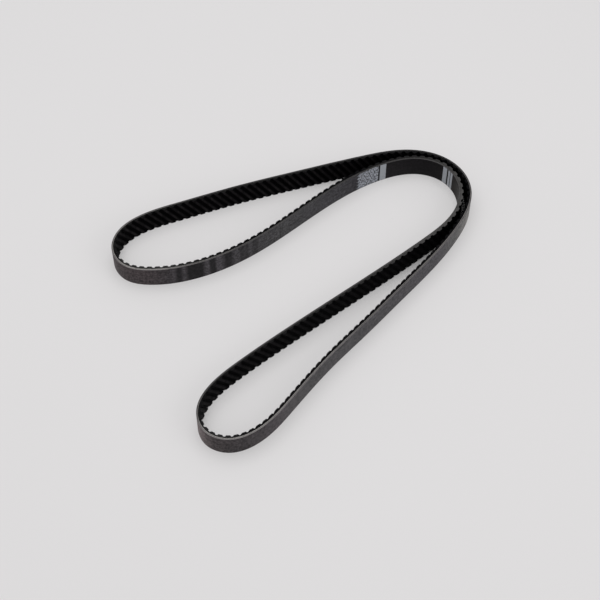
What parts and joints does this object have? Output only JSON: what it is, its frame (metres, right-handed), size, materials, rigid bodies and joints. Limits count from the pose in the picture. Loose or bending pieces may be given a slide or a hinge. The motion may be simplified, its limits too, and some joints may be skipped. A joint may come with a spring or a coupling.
{
  "type": "timing belt",
  "caption": "Endless black rubber timing belt with slanted teeth on the inside and a smooth back, standing on its edge and folded into long lobes.",
  "frame": {"origin": "centre of the footprint, on the plane that the belt's lower edge stands on", "axes": "+Z across the belt's width, up; +X along the longer side of the footprint, from the left lobe's end to the bend; +Y from the lower lobe's end to the outer bend"},
  "size_m": [0.3656, 0.3487, 0.0254],
  "materials": {
    "back_rubber": "satin, smooth ground rubber",
    "tooth_rubber": "matte, with a woven facing on the teeth",
    "glass_cord": "matte twisted glass fibre"
  },
  "bodies": {
    "root": {"back_cover": "back_rubber", "tooth_body": "tooth_rubber", "cord_turn_01": "glass_cord", "cord_turn_02": "glass_cord", "cord_turn_03": "glass_cord", "cord_turn_04": "glass_cord", "cord_turn_05": "glass_cord", "cord_turn_06": "glass_cord", "cord_turn_07": "glass_cord", "cord_turn_08": "glass_cord", "cord_turn_09": "glass_cord", "cord_turn_10": "glass_cord", "cord_turn_11": "glass_cord", "cord_turn_12": "glass_cord", "cord_turn_13": "glass_cord", "cord_turn_14": "glass_cord", "cord_turn_15": "glass_cord", "cord_turn_16": "glass_cord", "cord_turn_17": "glass_cord", "cord_turn_18": "glass_cord"}
  },
  "joints": []
}
